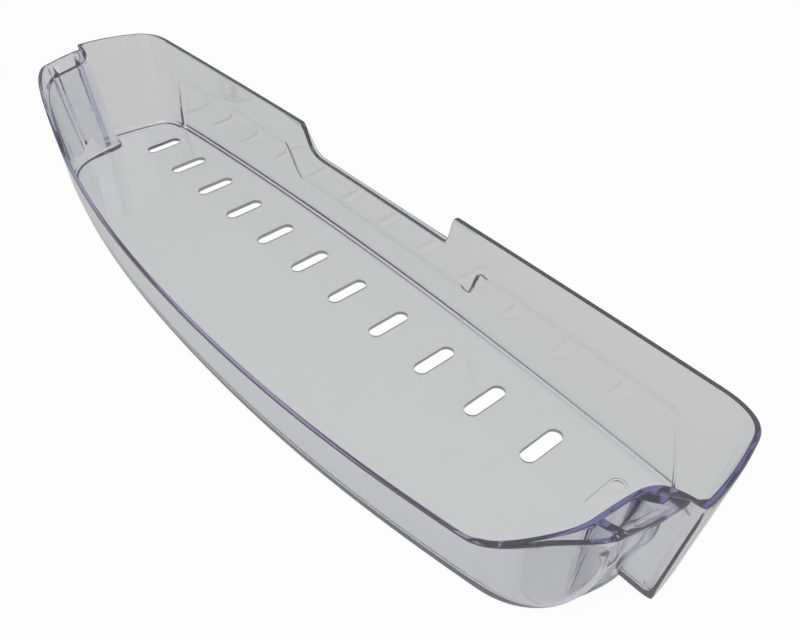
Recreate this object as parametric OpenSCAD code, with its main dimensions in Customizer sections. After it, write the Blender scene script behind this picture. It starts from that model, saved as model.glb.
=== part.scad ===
// Clear moulded shelf for the inside of a refrigerator door: a long tray with a bowed front wall,
// a tall back wall with a cut-out, and a double-walled hook at each end.
// Lengths are in mm. x runs along the shelf, y from front to back, z up from the underside.
// Inside the functions y is measured from the line through the middle of the drain slots.

/* [Body] */
// Length over the corners of the two end walls
body_len = 451.6; // [440:0.1:465]
// Thickness of every wall
wall_t = 2; // [1.6:0.1:2.6]
// Thickness of the floor
floor_t = 2; // [1.8:0.1:3]
// Height of the front wall's rim
front_h = 27.2; // [22:0.1:34]
// Height of the back wall's rim
back_h = 59.1; // [52:0.1:66]
// Height of the rim where the end walls meet the shoulders
corner_h = 62; // [59.1:0.1:66]
// How far the front wall bows forward of the slot line at mid-length
front_bow = 81.7; // [76:0.1:86]
// How far the foot of the front wall stands behind its rim
front_lean = 0.5; // [0:0.1:1.5]
// Radius of the rounded foot where the floor turns up into the walls, inside
foot_r = 3; // [1.5:0.5:4]

/* [Back wall] */
// Height of the bottom of the cut-out
notch_h = 42.7; // [38:0.1:50]
// Left and right ends of the level bottom of the cut-out
notch_x0 = -37; // [-45:0.5:-25]
notch_x1 = 58.5; // [50:0.5:62]
// How far the ledge behind the cut-out reaches back
ledge_y = 30.4; // [29:0.1:34]
// How far the lower panel is set back
panel_step = 1.3; // [0.8:0.1:1.5]
// Height of the panel's upper edge near the ends and below the cut-out
panel_h = 37; // [34:0.1:40]
panel_mid_h = 21.8; // [18:0.1:26]

/* [Floor slots] */
// Distance between neighbouring slots
slot_pitch = 33; // [30:0.5:35]
// Number of open slots; one more position at the right end is left closed
slot_count = 11; // [9:1:11]
// Length and width of a slot
slot_len = 22.2; // [18:0.5:24]
slot_w = 7.4; // [6:0.1:8]
// Depth of the closed slot's outline
blind_depth = 0.5; // [0.3:0.1:1]

/* [Hooks] */
// Half distance over the hooks' outer rims
hook_x = 220.5; // [216:0.1:223]
// Front face of the shoulder wall behind each hook, at the rim
shoulder_y = -22.2; // [-25:0.1:-20]
// Reach of the small gusset in front of the web
gusset = 3; // [2:0.5:4]

/* [Hidden] */
clear_plastic = [0.82, 0.84, 0.86, 0.45];
end_x = body_len / 2;
rise = back_h - floor_t;
front_end_x = 176;
rise_x0 = 170;
rise_x1 = 215;
shoulder_x0 = 210;
end_fall = 46;
foot_out = 1.5;
edge_r = 0.5;
gap_min = 0.5;
box_mid_y = (max(ledge_y, back_y(0, 0) + panel_step) - front_bow) / 2;
corner_r = 1.4;
slot_x0 = -slot_pitch * slot_count / 2;

// Blends, curves and directions.
function mix(a, b, t) = a + (b - a) * t;
function unit_range(t) = min(max(t, 0), 1);
function ramp(t) = let (u = unit_range(t)) u * u * (3 - 2 * u);
function curve(p, t) = let (s = 1 - t)
    p[0] * s * s * s + p[1] * 3 * s * s * t + p[2] * 3 * s * t * t + p[3] * t * t * t;
function unit(v) = v / norm(v);
function turned(v) = [-v[1], v[0]];

// Height above the floor's top as a share of the full rise.
function share(z) = unit_range((z - floor_t) / rise);

// Plan of the front wall: an even polynomial, flatter in the middle and fuller toward the ends.
function front_y(x) = let (u = x / 165, s = u * u)
    -front_bow + 12.96 * s + 3.71 * s * s - 1.65 * s * s * s;
front_end = [front_end_x, front_y(front_end_x)];
front_dir = unit([front_end_x - 175, front_y(front_end_x) - front_y(175)]);

// Control points of the right end, each as [at the floor, at the top].
corner_low = [front_end + [0, front_lean], [188, -61.8], [197.5, -54.5], [201.2, -43.5]];
corner_top = [front_end, front_end + front_dir * 16.3, [213.2, -57.4], [215.6, -45.5]];
skin_low = [[201.2, -43.5], [202.4, -38], [206, -30], [205.8, shoulder_y]];
skin_top = [[215.6, -45.5], [217.4, -39], [hook_x - 0.7, -32], [hook_x, shoulder_y]];
end_low = [[end_x - 6.8, shoulder_y + corner_r], [end_x - 7.3, -10], [end_x - 9, 2], [end_x - 12, 12]];
end_top = [[end_x, shoulder_y + corner_r], [end_x + 0.2, -9.5], [end_x - 2.2, 4], [end_x - 5.2, 14.5]];
turn_low = [[end_x - 12, 12], [end_x - 14.2, 19], [207, 22.2], [197, back_y(197, 0)]];
turn_top = [[end_x - 5.2, 14.5], [end_x - 7.3, 21.5], [213, 26], [200, back_y(200, 1)]];
inner_start = front_end + turned(front_dir) * wall_t;
inner_low = [inner_start + [0, 1], [187, -59.6], [196, -53.5], [199, -42]];
inner_top = [inner_start, inner_start + front_dir * 14, [202.5, -57], [204.2, -44]];
side_low = [[199, -42], [199.5, -37], [199.8, -32], [200, -27.5]];
side_top = [[204.2, -44], [204.9, -39], [205.6, -33], [206.8, -28.5]];
step_low = [[200, -27.5], [200.6, -21], [203, shoulder_y + wall_t],
    [end_x - 9, shoulder_y + wall_t]];
step_top = [[206.8, -28.5], [208.5, -22.5], [212, shoulder_y + wall_t],
    [end_x - 2.2, shoulder_y + wall_t]];

// The shoulder wall runs straight from the hook to a rounded corner with the end wall.
function shoulder(a, b, t) = curve([a, mix(a, [b[0], a[1]], 0.6), [b[0], a[1]], b], t);

// Outer face of the back wall above the panel, at a share e of the rise.
function back_y(x, e) = mix(29.7 - 1.62e-4 * x * x, 28.7 - 5.9e-5 * x * x, e);

// The hook's outer skin leans out: quickly above the foot round the corner, and in an S with a flared rim beside the gap.
function corner_lean(e) = 1 - pow(1 - e, 3);
function flare_lean(e) = 0.53 * ramp(e * 1.5) + 0.06 * e + 0.41 * ramp((e - 0.877) * 8.13);
function skin_lean(e, s) = mix(corner_lean(e), flare_lean(e), ramp((s - 0.6) / 0.8));

// Stretches of the right half's outline, from mid-front round to mid-back:
// 0 front wall, 1 corner, 2 side of the hook, 3 shoulder, 4 end wall, 5 back corner, 6 back wall.
function back_x(k, z) = mix(k[0], k[1], unit_range((panel_h - z) / (panel_h - floor_t)));
function outer(g, t, z) = let (e = share(z))
    g == 0 ? [front_end_x * t, front_y(front_end_x * t) + front_lean * unit_range(1 - z / front_h)]
    : g == 1 ? curve(mix(corner_low, corner_top, skin_lean(e, t)), t)
    : g == 2 ? curve(mix(skin_low, skin_top, skin_lean(e, 1 + t)), t)
    : g == 3 ? shoulder(outer(2, 1, z), outer(4, 0, z), t)
    : g == 4 ? curve(mix(end_low, end_top, e), t)
    : g == 5 ? curve(mix(turn_low, turn_top, e), t)
    : [back_x(t, z), back_y(back_x(t, z), e)];
function inner(g, t, z) = let (e = share(z))
    g == 1 ? curve(mix(inner_low, inner_top, e), t)
    : g == 2 ? curve(mix(side_low, side_top, e), t)
    : g == 3 ? curve(mix(step_low, step_top, e), t)
    : g == 4 ? outer(4, mix(0.06, 1, t), z) + along(false, 4, t, z) * wall_t
    : outer(g, t, z) + along(false, g, t, z) * wall_t;

// Direction into the tray, square to the face; the shoulder's two corners take the bisector.
function is_corner(inside, g, t) = g == 3 && (inside ? t == 1 : t == 0);
function place(inside, g, t, z) = inside ? inner(g, t, z) : outer(g, t, z);
function along(inside, g, t, z) =
    g == 6 ? [0, -1]
    : is_corner(inside, g, t) ? unit([-1, 1])
    : turned(unit(place(inside, g, min(t + 0.01, 1), z) - place(inside, g, max(t - 0.01, 0), z)));

// Height of the rim: low along the front, swept up round the corners to the shoulders, falling along
// the end walls, level at the back but for the cut-out.
notch = [[-51.5, 1], [-50.3, 0.93], [-47, 0.38], [-44.5, 0.13], [-41, 0.03], [notch_x0, 0],
    [notch_x1, 0], [notch_x1 + 2.4, 0.06], [notch_x1 + 3.6, 0.25], [notch_x1 + 6.6, 0.9],
    [notch_x1 + 7.4, 1]];
function back_rim(x) = mix(notch_h, back_h, lookup(x, notch));
function swept_rim(x) = mix(front_h, back_h, ramp((x - rise_x0) / (rise_x1 - rise_x0)))
    + (corner_h - back_h) * unit_range((x - shoulder_x0) / (end_x - shoulder_x0));
function end_rim(y) = mix(corner_h, back_h, pow(unit_range((y - shoulder_y) / end_fall), 2));
function rim(inside, side, g, t, n = 4) =
    g > 5 ? back_rim(side * t[0])
    : g > 3 ? end_rim(place(inside, g, t, back_h)[1])
    : swept_rim(place(inside, g, t, n > 0 ? rim(inside, side, g, t, n - 1) : back_h)[0] + (inside ? wall_t : 0));

// Upper edge of the panel that is set back, at x along the back wall.
function panel_edge(x) = mix(panel_mid_h, panel_h, max(ramp((x - 74.7) / 8), ramp((-x - 61) / 11)));

// Columns of the wall, each [side, stretch, place along it]; a back wall place is [x above, x at the floor, in panel].
function steps(g, n, first = 0) = [for (i = [first : n - 1]) [g, i / n]];
right_x = concat([for (i = [0 : 3]) mix(185, 92, i / 3)], [85.2, 81.7, 78.2, 74.7, 69.5],
    [for (i = [10 : -1 : 6]) notch[i][0]], [30, 0]);
left_x = concat([for (i = [0 : 3]) mix(185, 82, i / 3)], [74, 70, 66, 62, 57],
    [for (i = [0 : 5]) -notch[i][0]], [18]);
shared = concat(steps(0, 9), steps(1, 12), steps(2, 5), [for (t = [0, 0.26, 0.5, 0.7, 0.85, 1]) [3, t]],
    [for (t = [0.12, 0.4, 0.7]) [4, t]], steps(5, 7), [[6, [200, 197, 0]], [6, [193, 196.6, 0]],
    [6, [186.4, 196.2, 0]], [6, [185, 195, 1]]]);
function half(side, xs) = concat([for (c = shared) [side, c[0], c[1]]],
    [for (i = [1 : len(xs) - 1]) [side, 6, [xs[i], xs[i], 1]]]);
right_half = half(1, right_x);
left_half = half(-1, left_x);
columns = concat(right_half, [for (i = [len(left_half) - 1 : -1 : 1]) left_half[i]]);

// One side of a column from its foot to its rim: foot rounded, panel set back, edge eased.
edge_half = 0.7;
foot_sink = 0.2;
function set_back(side, g, t, z) = g == 6 && t[2] == 1 && z < panel_edge(side * t[0]) ? panel_step : 0;
function point(inside, side, g, t, z, inset) = let (
    p = place(inside, g, t, z) + along(inside, g, t, z) * inset)
    [side * p[0], p[1] + set_back(side, g, t, z), z];
function face(inside, side, g, t) = let (
    top = rim(inside, side, g, t),
    r = inside ? foot_r : foot_out,
    base = inside ? floor_t - foot_sink : 0,
    mid = g == 6 ? panel_edge(side * t[0]) : g == 0 ? top * 0.6 : mix(base + r, top, 0.8),
    below = mid - edge_half,
    above = mid + edge_half,
    ease = inside ? -edge_r : edge_r)
    concat(
        inside ? [point(true, side, g, t, 0, r)] : [],
        [for (a = [0 : 30 : 90]) point(inside, side, g, t, base + r * (1 - cos(a)), r * (1 - sin(a)))],
        [for (k = [1 : 3]) point(inside, side, g, t, mix(base + r, below, k / 4), 0)],
        [point(inside, side, g, t, below, 0), point(inside, side, g, t, above, 0)],
        [for (k = [1 : 2]) point(inside, side, g, t, mix(above, top - edge_r, k / 3), 0)],
        [point(inside, side, g, t, top - edge_r, 0), point(inside, side, g, t, top, ease)]);
function backward(v) = [for (i = [len(v) - 1 : -1 : 0]) v[i]];
function section(c) = concat(face(false, c[0], c[1], c[2]), backward(face(true, c[0], c[1], c[2])));

// Skins a row of equal sections: round in a ring, or capped at both ends.
module skin(sections, ring) {
    n = len(sections);
    m = len(sections[0]);
    sides = [for (i = [0 : n - (ring ? 1 : 2)]) for (j = [0 : m - 1]) let (
        a = i * m + j,
        b = i * m + (j + 1) % m,
        c = ((i + 1) % n) * m + (j + 1) % m,
        d = ((i + 1) % n) * m + j)
        each [[a, b, c], [a, c, d]]];
    caps = ring ? [] : [[for (j = [m - 1 : -1 : 0]) j], [for (j = [0 : m - 1]) (n - 1) * m + j]];
    polyhedron([for (v = sections) each v], concat(sides, caps));
}

// Wall all round: front wall, hooks, shoulders, end walls and back wall in one closed band.
module wall_band() {
    skin([for (c = columns) section(c)], true);
}

// Flat floor, reaching under the foot of every wall.
module floor_plate() {
    linear_extrude(floor_t)
        polygon([for (c = columns) let (p = point(false, c[0], c[1], c[2], 0, foot_out + 1.2)) [p[0], p[1]]]);
}

module slot(height) {
    hull()
        for (e = [-1, 1])
            translate([0, e * (slot_len - slot_w) / 2, 0])
                cylinder(d = slot_w, h = height, $fn = 40);
}

// Drain slots, and at the right end the shallow outline of a twelfth with a round moulding mark.
module floor_slots() {
    for (i = [0 : slot_count - 1])
        translate([slot_x0 + i * slot_pitch, 0, -1])
            slot(floor_t + 2);
    translate([slot_x0 + slot_count * slot_pitch, 0, floor_t - blind_depth]) {
        slot(3);
        translate([0, (slot_len - slot_w) / 2, -blind_depth])
            cylinder(d = slot_w - 2, h = 3, $fn = 40);
    }
}

// Ledge behind the cut-out: level, then up the left flank, where it runs out at the top.
ledge_t = 2;
module ledge_rib(x, h, reach) {
    translate([x, 28, h - ledge_t])
        cube([0.4, max(reach - 28, 0.1), ledge_t - 0.1]);
}
module ledge() {
    outline = [for (i = [1 : 5]) [notch[i][0] - 0.2, back_rim(notch[i][0]),
        mix(ledge_y, back_y(50, 1), ramp((back_rim(notch[i][0]) - notch_h) / (back_h - notch_h)))]];
    ends = concat(outline, [[notch_x1 + 0.3, notch_h, ledge_y]]);
    for (i = [0 : len(ends) - 2])
        hull() {
            ledge_rib(ends[i][0], ends[i][1], ends[i][2]);
            ledge_rib(ends[i + 1][0], ends[i + 1][1], ends[i + 1][2]);
        }
}

// Gap between the two walls of a hook. It starts where they part and closes downward in a V.
function stretch(u) = u < 1 ? [1, u] : [2, min(u - 1, 1)];
function gap_in(u, z) = let (q = stretch(u)) inner(q[0], q[1], z) - along(true, q[0], q[1], z) * wall_t;
function gap_out(u, z) = let (q = stretch(u)) outer(q[0], q[1], z) + along(false, q[0], q[1], z) * wall_t;
function gap(u, z) = let (q = stretch(u)) -(gap_out(u, z) - gap_in(u, z)) * along(true, q[0], q[1], z);
function closing_z(u, lo, hi, n = 9) = n == 0 ? hi : let (z = (lo + hi) / 2)
    gap(u, z) > gap_min ? closing_z(u, lo, z, n - 1) : closing_z(u, z, hi, n - 1);
function gap_section(side, u) = let (z0 = closing_z(u, floor_t + 2, back_h))
    concat(
        [for (k = [0 : 4]) let (z = mix(z0, corner_h + 1, k / 4), p = gap_out(u, z)) [side * p[0], p[1], z]],
        [for (k = [4 : -1 : 0]) let (z = mix(z0, corner_h + 1, k / 4), p = gap_in(u, z)) [side * p[0], p[1], z]]);
module hook_gap(side, from, to, n) {
    sections = [for (i = [0 : n]) gap_section(side, mix(from, to, i / n))];
    skin(side > 0 ? sections : backward(sections), false);
}

// Gusset on the hook's inner wall just in front of the web, thinning out downward.
function gusset_foot(z) = inner(1, 0.93, z) - along(true, 1, 0.93, z) * (wall_t - 0.5);
module gusset_rib(side) {
    low = closing_z(0.93, floor_t + 2, back_h);
    high = rim(true, 1, 1, 0.93) - 1;
    hull()
        for (z = [low, high])
            translate([side * gusset_foot(z)[0], gusset_foot(z)[1], z])
                cylinder(d = z > low ? gusset : 0.4, h = 0.5, $fn = 16);
}

module door_shelf() {
    color(clear_plastic)
        translate([0, -box_mid_y, 0])
            union() {
                difference() {
                    union() {
                        wall_band();
                        floor_plate();
                        ledge();
                    }
                    floor_slots();
                    for (side = [-1, 1]) {
                        hook_gap(side, 0.45, 0.95, 7);
                        hook_gap(side, 1.08, 1.8, 6);
                    }
                }
                for (side = [-1, 1])
                    gusset_rib(side);
            }
}

door_shelf();
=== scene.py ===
"""Looks of the clear refrigerator door shelf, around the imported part. Lengths in the shape
functions are in mm, as in the part's source; y there is measured from the line of the slots."""

import math

import bmesh
import bpy
import numpy as np
from mathutils import Matrix, Vector


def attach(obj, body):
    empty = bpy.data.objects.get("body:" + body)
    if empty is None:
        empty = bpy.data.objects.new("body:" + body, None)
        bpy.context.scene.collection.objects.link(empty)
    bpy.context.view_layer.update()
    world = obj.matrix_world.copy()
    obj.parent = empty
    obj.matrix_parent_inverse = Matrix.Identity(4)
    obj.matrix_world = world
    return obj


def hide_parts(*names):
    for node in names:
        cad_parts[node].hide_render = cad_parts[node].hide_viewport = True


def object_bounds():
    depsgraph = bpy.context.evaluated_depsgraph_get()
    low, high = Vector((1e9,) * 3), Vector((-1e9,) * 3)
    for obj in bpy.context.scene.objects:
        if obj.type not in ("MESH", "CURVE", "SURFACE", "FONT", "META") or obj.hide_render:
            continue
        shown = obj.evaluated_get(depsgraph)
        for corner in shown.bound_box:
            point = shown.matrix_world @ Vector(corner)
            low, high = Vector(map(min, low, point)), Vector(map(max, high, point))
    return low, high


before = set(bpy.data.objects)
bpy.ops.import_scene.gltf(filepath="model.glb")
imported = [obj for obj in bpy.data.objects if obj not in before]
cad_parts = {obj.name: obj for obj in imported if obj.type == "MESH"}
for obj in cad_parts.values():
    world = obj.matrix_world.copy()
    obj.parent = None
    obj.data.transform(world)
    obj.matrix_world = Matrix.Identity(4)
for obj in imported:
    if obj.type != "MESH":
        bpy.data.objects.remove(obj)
cad_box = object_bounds()

# Sizes, the same as in the part's source.
BODY_LEN = 451.6
WALL = 2.0
FLOOR = 2.0
FRONT_H = 27.2
BACK_H = 59.1
CORNER_H = 62.0
FRONT_BOW = 81.7
FRONT_LEAN = 0.5
FOOT_R = 3.0
FOOT_OUT = 1.5
NOTCH_H = 42.7
NOTCH_X0 = -37.0
NOTCH_X1 = 58.5
LEDGE_Y = 30.4
LEDGE_T = 2.0
PANEL_STEP = 1.3
PANEL_H = 37.0
PANEL_MID_H = 21.8
SLOT_PITCH = 33.0
SLOT_COUNT = 11
SLOT_LEN = 22.2
SLOT_W = 7.4
BLIND_DEPTH = 0.5
HOOK_X = 220.5
SHOULDER_Y = -22.2
GUSSET = 3.0
END_X = BODY_LEN / 2
RISE = BACK_H - FLOOR
FRONT_END_X = 176.0
RISE_X0 = 170.0
RISE_X1 = 215.0
SHOULDER_X0 = 210.0
END_FALL = 46.0
CORNER_R = 1.4
EDGE_R = 0.5
GAP_MIN = 0.5
GAP_TIP = 0.35
EDGE_HALF = 0.7
# Half height of the soft part of the panel's step.
PANEL_EASE = 3.2
# Place of the gusset along the hook's corner.
GUSSET_AT = 0.93
# Spans of the two gaps of a hook; the web stands between them.
GAP_SPANS = ((0.45, 0.95, 36), (1.08, 1.8, 32))
SMOOTH_ANGLE = math.radians(38)


def vec(*v):
    return np.array(v, float)


def mix(a, b, t):
    return a + (b - a) * t


def unit_range(t):
    return min(max(t, 0.0), 1.0)


def ramp(t):
    u = unit_range(t)
    return u * u * (3 - 2 * u)


def curve(p, t):
    s = 1 - t
    return p[0] * s * s * s + p[1] * 3 * s * s * t + p[2] * 3 * s * t * t + p[3] * t * t * t


def unit(v):
    return v / np.linalg.norm(v)


def turned(v):
    return vec(-v[1], v[0])


def share(z):
    return unit_range((z - FLOOR) / RISE)


def front_y(x):
    s = (x / 165) ** 2
    return -FRONT_BOW + 12.96 * s + 3.71 * s * s - 1.65 * s**3


def back_y(x, e):
    return mix(29.7 - 1.62e-4 * x * x, 28.7 - 5.9e-5 * x * x, e)


BOX_MID_Y = (max(LEDGE_Y, back_y(0, 0) + PANEL_STEP) - FRONT_BOW) / 2
FRONT_END = vec(FRONT_END_X, front_y(FRONT_END_X))
FRONT_DIR = unit(vec(FRONT_END_X - 175, front_y(FRONT_END_X) - front_y(175)))
INNER_START = FRONT_END + turned(FRONT_DIR) * WALL


def pts(*rows):
    return np.array([np.asarray(r, float) for r in rows])


CORNER_LOW = pts(FRONT_END + vec(0, FRONT_LEAN), (188, -61.8), (197.5, -54.5), (201.2, -43.5))
CORNER_TOP = pts(FRONT_END, FRONT_END + FRONT_DIR * 16.3, (213.2, -57.4), (215.6, -45.5))
SKIN_LOW = pts((201.2, -43.5), (202.4, -38), (206, -30), (205.8, SHOULDER_Y))
SKIN_TOP = pts((215.6, -45.5), (217.4, -39), (HOOK_X - 0.7, -32), (HOOK_X, SHOULDER_Y))
END_LOW = pts((END_X - 6.8, SHOULDER_Y + CORNER_R), (END_X - 7.3, -10), (END_X - 9, 2), (END_X - 12, 12))
END_TOP = pts((END_X, SHOULDER_Y + CORNER_R), (END_X + 0.2, -9.5), (END_X - 2.2, 4), (END_X - 5.2, 14.5))
TURN_LOW = pts((END_X - 12, 12), (END_X - 14.2, 19), (207, 22.2), (197, back_y(197, 0)))
TURN_TOP = pts((END_X - 5.2, 14.5), (END_X - 7.3, 21.5), (213, 26), (200, back_y(200, 1)))
INNER_LOW = pts(INNER_START + vec(0, 1), (187, -59.6), (196, -53.5), (199, -42))
INNER_TOP = pts(INNER_START, INNER_START + FRONT_DIR * 14, (202.5, -57), (204.2, -44))
SIDE_LOW = pts((199, -42), (199.5, -37), (199.8, -32), (200, -27.5))
SIDE_TOP = pts((204.2, -44), (204.9, -39), (205.6, -33), (206.8, -28.5))
STEP_LOW = pts((200, -27.5), (200.6, -21), (203, SHOULDER_Y + WALL), (END_X - 9, SHOULDER_Y + WALL))
STEP_TOP = pts((206.8, -28.5), (208.5, -22.5), (212, SHOULDER_Y + WALL), (END_X - 2.2, SHOULDER_Y + WALL))
NOTCH = [(-51.5, 1), (-50.3, 0.93), (-47, 0.38), (-44.5, 0.13), (-41, 0.03), (NOTCH_X0, 0),
         (NOTCH_X1, 0), (NOTCH_X1 + 2.4, 0.06), (NOTCH_X1 + 3.6, 0.25), (NOTCH_X1 + 6.6, 0.9),
         (NOTCH_X1 + 7.4, 1)]


def corner_lean(e):
    return 1 - (1 - e) ** 3


def flare_lean(e):
    return 0.53 * ramp(e * 1.5) + 0.06 * e + 0.41 * ramp((e - 0.877) * 8.13)


def skin_lean(e, s):
    return mix(corner_lean(e), flare_lean(e), ramp((s - 0.6) / 0.8))


def shoulder(a, b, t):
    return curve([a, mix(a, vec(b[0], a[1]), 0.6), vec(b[0], a[1]), b], t)


def back_x(k, z):
    return mix(k[0], k[1], unit_range((PANEL_H - z) / (PANEL_H - FLOOR)))


def outer(g, t, z):
    e = share(z)
    if g == 0:
        x = FRONT_END_X * t
        return vec(x, front_y(x) + FRONT_LEAN * unit_range(1 - z / FRONT_H))
    if g == 1:
        return curve(mix(CORNER_LOW, CORNER_TOP, skin_lean(e, t)), t)
    if g == 2:
        return curve(mix(SKIN_LOW, SKIN_TOP, skin_lean(e, 1 + t)), t)
    if g == 3:
        return shoulder(outer(2, 1, z), outer(4, 0, z), t)
    if g == 4:
        return curve(mix(END_LOW, END_TOP, e), t)
    if g == 5:
        return curve(mix(TURN_LOW, TURN_TOP, e), t)
    x = back_x(t, z)
    return vec(x, back_y(x, e))


def inner(g, t, z):
    e = share(z)
    if g == 1:
        return curve(mix(INNER_LOW, INNER_TOP, e), t)
    if g == 2:
        return curve(mix(SIDE_LOW, SIDE_TOP, e), t)
    if g == 3:
        return curve(mix(STEP_LOW, STEP_TOP, e), t)
    if g == 4:
        return outer(4, mix(0.06, 1, t), z) + along(False, 4, t, z) * WALL
    return outer(g, t, z) + along(False, g, t, z) * WALL


def place(inside, g, t, z):
    return inner(g, t, z) if inside else outer(g, t, z)


def along(inside, g, t, z):
    """Direction into the tray, square to the face; the shoulder's corners take the bisector."""
    if g == 6:
        return vec(0, -1)
    if g == 3 and t == (1 if inside else 0):
        return unit(vec(-1, 1))
    return turned(unit(place(inside, g, min(t + 0.01, 1), z) - place(inside, g, max(t - 0.01, 0), z)))


def notch_share(x):
    xs, ys = [n[0] for n in NOTCH], [n[1] for n in NOTCH]
    return float(np.mean([np.interp(x + d, xs, ys) for d in (-0.9, -0.3, 0.3, 0.9)]))


def back_rim(x):
    return mix(NOTCH_H, BACK_H, notch_share(x))


def swept_rim(x):
    return (mix(FRONT_H, BACK_H, ramp((x - RISE_X0) / (RISE_X1 - RISE_X0)))
            + (CORNER_H - BACK_H) * unit_range((x - SHOULDER_X0) / (END_X - SHOULDER_X0)))


def end_rim(y):
    return mix(CORNER_H, BACK_H, unit_range((y - SHOULDER_Y) / END_FALL) ** 2)


def rim(inside, side, g, t):
    if g > 5:
        return back_rim(side * t[0])
    if g > 3:
        return end_rim(place(inside, g, t, BACK_H)[1])
    z = BACK_H
    for _ in range(5):
        z = swept_rim(place(inside, g, t, z)[0] + (WALL if inside else 0))
    return z


def panel_edge(x):
    return mix(PANEL_MID_H, PANEL_H, max(ramp((x - 74.7) / 8), ramp((-x - 61) / 11)))


# Mesh of the shelf.
def spread(a, b, n):
    return [mix(a, b, i / n) for i in range(n)]


def steps(g, n):
    return [(g, i / n) for i in range(n)]


def half(side):
    """Columns of the right or left half, each [side, stretch, place along it]."""
    if side > 0:
        xs = spread(185, 92, 14) + spread(92, 66, 22) + spread(66, 57, 14) + spread(57, 0, 8)
    else:
        xs = spread(185, 80, 14) + spread(80, 56, 20) + spread(56, 35, 22) + spread(35, 0, 6)
    cols = (steps(0, 56) + steps(1, 44) + steps(2, 18) + steps(3, 20)
            + [(4, 0.02 + 0.98 * i / 16) for i in range(16)] + steps(5, 26)
            + [(6, (200, 197.6, 0)), (6, (197, 197.4, 0)), (6, (194, 197.2, 0))]
            + [(6, (mix(192, xs[0], k / 8), mix(197, 195, k / 8), ramp(k / 8))) for k in range(9)]
            + [(6, (x, x, 1)) for x in xs[1:]])
    return [(side, g, t) for g, t in cols]


def panel_ease(x):
    """Half height of the panel's step: crisp on the right flank below the cut-out, soft elsewhere."""
    return mix(PANEL_EASE, EDGE_HALF, ramp(1.6 - abs(x - 78.7) / 6))


def set_back(side, g, t, z):
    if g != 6:
        return 0
    x = side * t[0]
    ease = panel_ease(x)
    return t[2] * PANEL_STEP * ramp((panel_edge(x) + ease - z) / (2 * ease))


def point(inside, side, g, t, z, inset):
    p = place(inside, g, t, z) + along(inside, g, t, z) * inset
    return (side * p[0], p[1] + set_back(side, g, t, z), z)


def face(inside, side, g, t):
    top = rim(inside, side, g, t)
    r = FOOT_R if inside else FOOT_OUT
    base = FLOOR if inside else 0.0
    if g == 6:
        mid = panel_edge(side * t[0])
    elif g == 0:
        mid = top * 0.6
    else:
        mid = mix(base + r, top, 0.8)
    half_step = panel_ease(side * t[0]) if g == 6 else EDGE_HALF
    below, above = mid - half_step, mid + half_step
    out = []
    for a in np.radians(np.arange(0, 91, 15)):
        out.append(point(inside, side, g, t, base + r * (1 - math.cos(a)), r * (1 - math.sin(a))))
    for k in range(1, 8):
        out.append(point(inside, side, g, t, mix(base + r, below, k / 8), 0))
    for k in range(7):
        out.append(point(inside, side, g, t, mix(below, above, k / 6), 0))
    for k in range(1, 7):
        out.append(point(inside, side, g, t, mix(above, top - EDGE_R, k / 7), 0))
    for a in np.radians(np.arange(0, 91, 22.5)):
        ease = EDGE_R * (1 - math.cos(a)) * (-1 if inside else 1)
        out.append(point(inside, side, g, t, top - EDGE_R + EDGE_R * math.sin(a), ease))
    return out


def section(c):
    return face(False, *c) + face(True, *c)[::-1]


def stadium(cx, length, width, grow=0.0, n=16):
    r = width / 2 + grow
    reach = (length - width) / 2
    out = []
    for end in (1, -1):
        for k in range(n + 1):
            a = math.pi * k / n
            out.append((cx + end * r * math.cos(a), end * (reach + r * math.sin(a))))
    return out


def circle(cx, cy, r, n=24):
    return [(cx + r * math.cos(2 * math.pi * k / n), cy + r * math.sin(2 * math.pi * k / n)) for k in range(n)]


class Builder:
    def __init__(self):
        self.bm = bmesh.new()

    def loop(self, points, z):
        return [self.bm.verts.new((x, y, z)) for x, y in points]

    def bridge(self, a, b):
        n = len(a)
        for i in range(n):
            self.bm.faces.new((a[i], a[(i + 1) % n], b[(i + 1) % n], b[i]))

    def fill(self, outline, holes=()):
        edges = []
        for ring in [outline] + list(holes):
            for i in range(len(ring)):
                pair = (ring[i], ring[(i + 1) % len(ring)])
                edges.append(self.bm.edges.get(pair) or self.bm.edges.new(pair))
        bmesh.ops.triangle_fill(self.bm, edges=edges, use_beauty=True, use_dissolve=False)

    def finish(self, name):
        bmesh.ops.remove_doubles(self.bm, verts=self.bm.verts, dist=1e-4)
        bmesh.ops.recalc_face_normals(self.bm, faces=self.bm.faces)
        scale = Matrix.Diagonal((0.001, 0.001, 0.001, 1)) @ Matrix.Translation((0, -BOX_MID_Y, 0))
        self.bm.transform(scale)
        mesh = bpy.data.meshes.new(name)
        self.bm.to_mesh(mesh)
        self.bm.free()
        obj = bpy.data.objects.new(name, mesh)
        bpy.context.scene.collection.objects.link(obj)
        return obj


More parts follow.
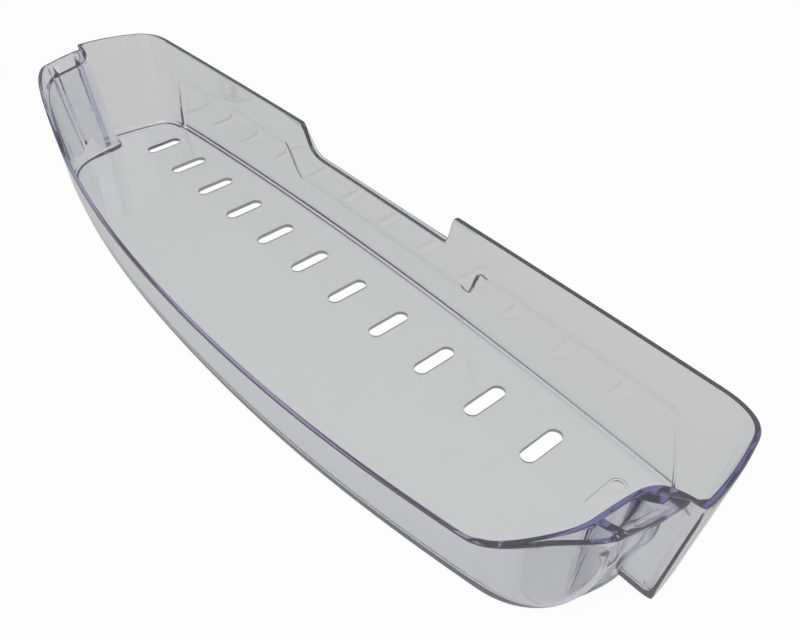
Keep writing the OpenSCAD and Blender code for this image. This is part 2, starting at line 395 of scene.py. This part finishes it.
def shell():
    """The walls in one closed ring, with the floor's two faces and the slots."""
    b = Builder()
    left = half(-1)
    columns = half(1) + [left[i] for i in range(len(left) - 1, 0, -1)]
    rings = [[b.bm.verts.new(p) for p in section(c)] for c in columns]
    n, m = len(rings), len(rings[0])
    for i in range(n):
        r, q = rings[i], rings[(i + 1) % n]
        for j in range(m - 1):
            b.bm.faces.new((r[j], q[j], q[j + 1], r[j + 1]))
    under = [r[0] for r in rings]
    over = [r[-1] for r in rings]
    holes_top, holes_low = [], []
    for i in range(SLOT_COUNT):
        x = -SLOT_PITCH * SLOT_COUNT / 2 + i * SLOT_PITCH
        rows = [(0.25, FLOOR), (0.07, FLOOR - 0.07), (0, FLOOR - 0.25), (0, 0.25), (0.07, 0.07), (0.25, 0)]
        loops = [b.loop(stadium(x, SLOT_LEN, SLOT_W, g), z) for g, z in rows]
        for a, c in zip(loops, loops[1:]):
            b.bridge(a, c)
        holes_top.append(loops[0])
        holes_low.append(loops[-1])
    x = SLOT_PITCH * SLOT_COUNT / 2
    rows = [(0.25, FLOOR), (0.05, FLOOR - 0.1), (0, FLOOR - BLIND_DEPTH)]
    loops = [b.loop(stadium(x, SLOT_LEN, SLOT_W, g), z) for g, z in rows]
    for a, c in zip(loops, loops[1:]):
        b.bridge(a, c)
    holes_top.append(loops[0])
    cy = (SLOT_LEN - SLOT_W) / 2
    marks = [b.loop(circle(x, cy, SLOT_W / 2 - 1 + g), z) for g, z in
             [(0.1, FLOOR - BLIND_DEPTH), (0, FLOOR - BLIND_DEPTH - 0.1), (0, FLOOR - 2 * BLIND_DEPTH)]]
    for a, c in zip(marks, marks[1:]):
        b.bridge(a, c)
    b.fill(marks[-1])
    b.fill(loops[-1], [marks[0]])
    b.fill(over, holes_top)
    b.fill(under, holes_low)
    return b.finish("shelf_shell")


# Gap between the two walls of a hook, closing downward in a V, with a web left standing between.
def stretch(u):
    return (1, u) if u < 1 else (2, min(u - 1, 1))


def gap_in(u, z):
    g, t = stretch(u)
    return inner(g, t, z) - along(True, g, t, z) * WALL


def gap_out(u, z):
    g, t = stretch(u)
    return outer(g, t, z) + along(False, g, t, z) * WALL


def gap(u, z):
    g, t = stretch(u)
    return -float(np.dot(gap_out(u, z) - gap_in(u, z), along(True, g, t, z)))


def closing_z(u):
    lo, hi = FLOOR + 2, BACK_H
    for _ in range(12):
        z = (lo + hi) / 2
        if gap(u, z) > GAP_MIN:
            hi = z
        else:
            lo = z
    return hi


def gap_section(side, u):
    z0 = closing_z(u)
    zs = [mix(z0, CORNER_H + 1, k / 14) for k in range(15)]
    a = [(side * gap_out(u, z)[0], gap_out(u, z)[1], z) for z in zs]
    c = [(side * gap_in(u, z)[0], gap_in(u, z)[1], z) for z in zs[::-1]]
    mid = (vec(*a[0]) + vec(*c[-1])) / 2
    return a + c + [(mid[0], mid[1], z0 - GAP_TIP)]


def gap_solid(b, side, start, end, n):
    rows = [[b.bm.verts.new(p) for p in gap_section(side, mix(start, end, i / n))] for i in range(n + 1)]
    for r, q in zip(rows, rows[1:]):
        b.bridge(r, q)
    b.bm.faces.new(rows[0])
    b.bm.faces.new(rows[-1][::-1])


def gaps():
    """Solids to cut from the hooks."""
    b = Builder()
    for side in (1, -1):
        for start, end, n in GAP_SPANS:
            gap_solid(b, side, start, end, n)
    return b.finish("gap_cutter")


def ledge():
    """The ledge behind the cut-out, running up the left flank till it meets the wall's face."""
    b = Builder()
    xs = list(np.linspace(-50.6, NOTCH_X0, 26)) + list(np.linspace(NOTCH_X0 + 4, NOTCH_X1 + 0.3, 12))
    rows = []
    for x in xs:
        h = back_rim(x)
        k = ramp((h - NOTCH_H) / (BACK_H - NOTCH_H))
        y = max(mix(LEDGE_Y, back_y(50, 1), k), 28.15)
        low = h - LEDGE_T
        rows.append([b.bm.verts.new(p) for p in
                     [(x, 28, low), (x, y - 0.3, low), (x, y, low + 0.3),
                      (x, y, h - 0.4), (x, y - 0.3, h - 0.1), (x, 28, h - 0.1)]])
    for r, q in zip(rows, rows[1:]):
        b.bridge(r, q)
    b.bm.faces.new(rows[0])
    b.bm.faces.new(rows[-1][::-1])
    return b


def gusset_foot(z):
    return inner(1, GUSSET_AT, z) - along(True, 1, GUSSET_AT, z) * (WALL - 0.5)


def additions():
    """The ledge and the gussets in the hooks, to join to the shell."""
    b = ledge()
    for side in (1, -1):
        low, high = closing_z(GUSSET_AT), rim(True, 1, 1, GUSSET_AT) - 1
        rows = []
        for k in range(9):
            z = mix(low, high + 0.5, k / 8)
            c = gusset_foot(z)
            r = mix(0.2, GUSSET / 2, k / 8)
            rows.append([b.bm.verts.new((side * (c[0] + r * math.cos(a)), c[1] + r * math.sin(a), z))
                         for a in np.linspace(0, 2 * math.pi, 24, endpoint=False)])
        for r, q in zip(rows, rows[1:]):
            b.bridge(r, q)
        b.bm.faces.new(rows[0])
        b.bm.faces.new(rows[-1][::-1])
    return b.finish("ledge_and_gussets")


def apply_boolean(target, tool, operation):
    """Joins the tool to the target or cuts it out, and deletes the tool."""
    mod = target.modifiers.new(operation.lower(), "BOOLEAN")
    mod.operation = operation
    mod.object = tool
    mod.solver = "EXACT"
    mod.use_self = False
    bpy.context.view_layer.objects.active = target
    bpy.ops.object.modifier_apply(modifier=mod.name)
    bpy.data.objects.remove(tool, do_unlink=True)


shelf = shell()
apply_boolean(shelf, gaps(), "DIFFERENCE")
apply_boolean(shelf, additions(), "UNION")
shelf.name = "door_shelf_clear"
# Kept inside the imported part's box to the last hundredth of a millimetre.
for vert in shelf.data.vertices:
    vert.co = [min(max(c, low), high) for c, low, high in zip(vert.co, *cad_box)]
shelf.data.polygons.foreach_set("use_smooth", [True] * len(shelf.data.polygons))
shelf.data.set_sharp_from_angle(angle=SMOOTH_ANGLE)


# Materials.
def nodes_of(name):
    mat = bpy.data.materials.new(name)
    mat.use_nodes = True
    tree = mat.node_tree
    tree.nodes.clear()
    return mat, tree


def node(tree, kind, **values):
    n = tree.nodes.new(kind)
    for key, value in values.items():
        if key.startswith("at_"):
            setattr(n, key[3:], value)
        else:
            n.inputs[key.replace("_", " ")].default_value = value
    return n


def clear_plastic():
    """Clear plastic with slow waves, fine scuffs, a faint veil and a violet-blue tint in depth."""
    mat, tree = nodes_of("clear_plastic")
    link = tree.links.new
    coord = node(tree, "ShaderNodeTexCoord")
    out = node(tree, "ShaderNodeOutputMaterial")
    body = node(tree, "ShaderNodeBsdfPrincipled", Base_Color=(0.97, 0.975, 0.98, 1), IOR=1.575, Roughness=0.02,
                Transmission_Weight=1.0)
    # Slow waves of the moulded surface and fine scuffs.
    waves = node(tree, "ShaderNodeTexNoise", Scale=14.0, Detail=2.0, Roughness=0.45)
    scuffs = node(tree, "ShaderNodeTexNoise", Scale=420.0, Detail=3.0, Roughness=0.6)
    link(coord.outputs["Object"], waves.inputs["Vector"])
    link(coord.outputs["Object"], scuffs.inputs["Vector"])
    bump = node(tree, "ShaderNodeBump", Strength=0.08, Distance=0.0005)
    link(waves.outputs["Fac"], bump.inputs["Height"])
    link(bump.outputs["Normal"], body.inputs["Normal"])
    rough = node(tree, "ShaderNodeMapRange", From_Min=0.35, From_Max=0.75, To_Min=0.012, To_Max=0.06)
    link(scuffs.outputs["Fac"], rough.inputs["Value"])
    link(rough.outputs["Result"], body.inputs["Roughness"])
    # A faint milky veil, as worn clear plastic has.
    veil = node(tree, "ShaderNodeBsdfDiffuse", Color=(0.62, 0.64, 0.66, 1))
    veiled = node(tree, "ShaderNodeMixShader", Fac=0.06)
    link(body.outputs["BSDF"], veiled.inputs[1])
    link(veil.outputs["BSDF"], veiled.inputs[2])
    # Light passes to the floor behind with little loss.
    path = node(tree, "ShaderNodeLightPath")
    passing = node(tree, "ShaderNodeBsdfTransparent", Color=(0.86, 0.865, 0.88, 1))
    shade = node(tree, "ShaderNodeMixShader")
    link(path.outputs["Is Shadow Ray"], shade.inputs["Fac"])
    link(veiled.outputs["Shader"], shade.inputs[1])
    link(passing.outputs["BSDF"], shade.inputs[2])
    link(shade.outputs["Shader"], out.inputs["Surface"])
    # The body's own tint: violet-blue where the light runs lengthwise through a wall.
    tint = node(tree, "ShaderNodeVolumeAbsorption", Color=(0.44, 0.40, 0.76, 1), Density=42.0)
    link(tint.outputs["Volume"], out.inputs["Volume"])
    return mat


def slot_edge():
    """Sides of the slots, which scatter light like a moulded edge."""
    mat, tree = nodes_of("slot_edge")
    link = tree.links.new
    out = node(tree, "ShaderNodeOutputMaterial")
    grain = node(tree, "ShaderNodeTexNoise", Scale=900.0, Detail=2.0)
    tone = node(tree, "ShaderNodeValToRGB")
    tone.color_ramp.elements[0].color = (0.42, 0.44, 0.45, 1)
    tone.color_ramp.elements[1].color = (0.58, 0.60, 0.61, 1)
    link(grain.outputs["Fac"], tone.inputs["Fac"])
    front = node(tree, "ShaderNodeBsdfDiffuse")
    back = node(tree, "ShaderNodeBsdfTranslucent")
    both = node(tree, "ShaderNodeMixShader", Fac=0.5)
    link(tone.outputs["Color"], front.inputs["Color"])
    link(tone.outputs["Color"], back.inputs["Color"])
    link(front.outputs["BSDF"], both.inputs[1])
    link(back.outputs["BSDF"], both.inputs[2])
    link(both.outputs["Shader"], out.inputs["Surface"])
    return mat


def floor_material():
    """Floor near white to the camera, with a soft shadow; seen through plastic or reflected, a painted-shade
    grey glow.
    """
    mat, tree = nodes_of("studio_floor")
    link = tree.links.new
    out = node(tree, "ShaderNodeOutputMaterial")
    path = node(tree, "ShaderNodeLightPath")
    lit = node(tree, "ShaderNodeBsdfDiffuse", Color=(0.80, 0.80, 0.80, 1))
    white = node(tree, "ShaderNodeEmission", Color=(1, 1, 1, 1), Strength=1.0)
    # Painted shade: a set grey glow that glossy and transmission rays see in place of the floor's shade under
    # the shelf.
    painted_shade_grey = node(tree, "ShaderNodeEmission", Color=(0.625, 0.65, 0.605, 1), Strength=1.0)

    def blend(fac, a, b):
        n = tree.nodes.new("ShaderNodeMixShader")
        if isinstance(fac, float):
            n.inputs["Fac"].default_value = fac
        else:
            link(fac, n.inputs["Fac"])
        link(a.outputs[0], n.inputs[1])
        link(b.outputs[0], n.inputs[2])
        return n

    open_floor = blend(0.93, lit, white)
    painted_shade_seen_through = blend(0.90, lit, painted_shade_grey)
    through = node(tree, "ShaderNodeMath", at_operation="MAXIMUM")
    link(path.outputs["Is Glossy Ray"], through.inputs[0])
    link(path.outputs["Is Transmission Ray"], through.inputs[1])
    first = blend(through.outputs[0], lit, painted_shade_seen_through)
    link(blend(path.outputs["Is Camera Ray"], first, open_floor).outputs[0], out.inputs["Surface"])
    return mat


shelf.data.materials.clear()
shelf.data.materials.append(clear_plastic())
shelf.data.materials.append(slot_edge())

# Sides of the open slots take the second material. Level faces are shaded flat, so that the
# rounded edges beside them don't bend what is seen through the floor.
OPEN_SLOTS_X = 175
STEEP = 0.9
LEVEL = 0.9995
for polygon in shelf.data.polygons:
    x, y, z = polygon.center * 1000
    on_slot = abs(y + BOX_MID_Y) < SLOT_LEN / 2 + 1 and abs(x) < OPEN_SLOTS_X and 0 < z < FLOOR
    polygon.material_index = 1 if on_slot and abs(polygon.normal.z) < STEEP else 0
    if abs(polygon.normal.z) > LEVEL:
        polygon.use_smooth = False
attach(shelf, "root")
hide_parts("door_shelf")

# Studio.
bpy.ops.mesh.primitive_plane_add(size=8, location=(0, 0, -0.0002))
floor = bpy.context.object
floor.name = "studio_floor"
floor.data.materials.append(floor_material())


def area(name, size, power, where, aim=(0, 0, 0.02)):
    """A soft rectangular lamp that faces the shelf."""
    data = bpy.data.lights.new(name, "AREA")
    data.shape = "RECTANGLE"
    data.size, data.size_y = size
    data.energy = power
    lamp = bpy.data.objects.new(name, data)
    bpy.context.scene.collection.objects.link(lamp)
    lamp.location = where
    lamp.rotation_euler = (lamp.location - Vector(aim)).to_track_quat("Z", "Y").to_euler()


area("key", (1.0, 1.0), 12, (0.35, -0.45, 1.5))
area("fill", (1.0, 0.8), 4.8, (1.2, 0.5, 1.1))

world = bpy.data.worlds.new("studio")
world.use_nodes = True
world.node_tree.nodes["Background"].inputs["Color"].default_value = (0.95, 0.96, 0.97, 1)
world.node_tree.nodes["Background"].inputs["Strength"].default_value = 0.48
bpy.context.scene.world = world

# Camera, solved from the photograph.
FOCAL_PX = 795.3
PICTURE_PX = 800
camera_data = bpy.data.cameras.new("camera")
camera_data.sensor_width = 36
camera_data.lens = FOCAL_PX / PICTURE_PX * camera_data.sensor_width
camera_data.clip_start = 0.01
camera = bpy.data.objects.new("camera", camera_data)
bpy.context.scene.collection.objects.link(camera)
right = (0.6400, 0.7677, -0.0306)
up = (-0.4991, 0.4457, 0.7431)
forward = (-0.5842, 0.4604, -0.6684)
camera.matrix_world = Matrix((
    (right[0], up[0], -forward[0], 0.2756),
    (right[1], up[1], -forward[1], -0.1710 - BOX_MID_Y / 1000),
    (right[2], up[2], -forward[2], 0.2565 + FLOOR / 1000),
    (0, 0, 0, 1)))
bpy.context.scene.camera = camera

view = bpy.context.scene.view_settings
view.view_transform = "Standard"
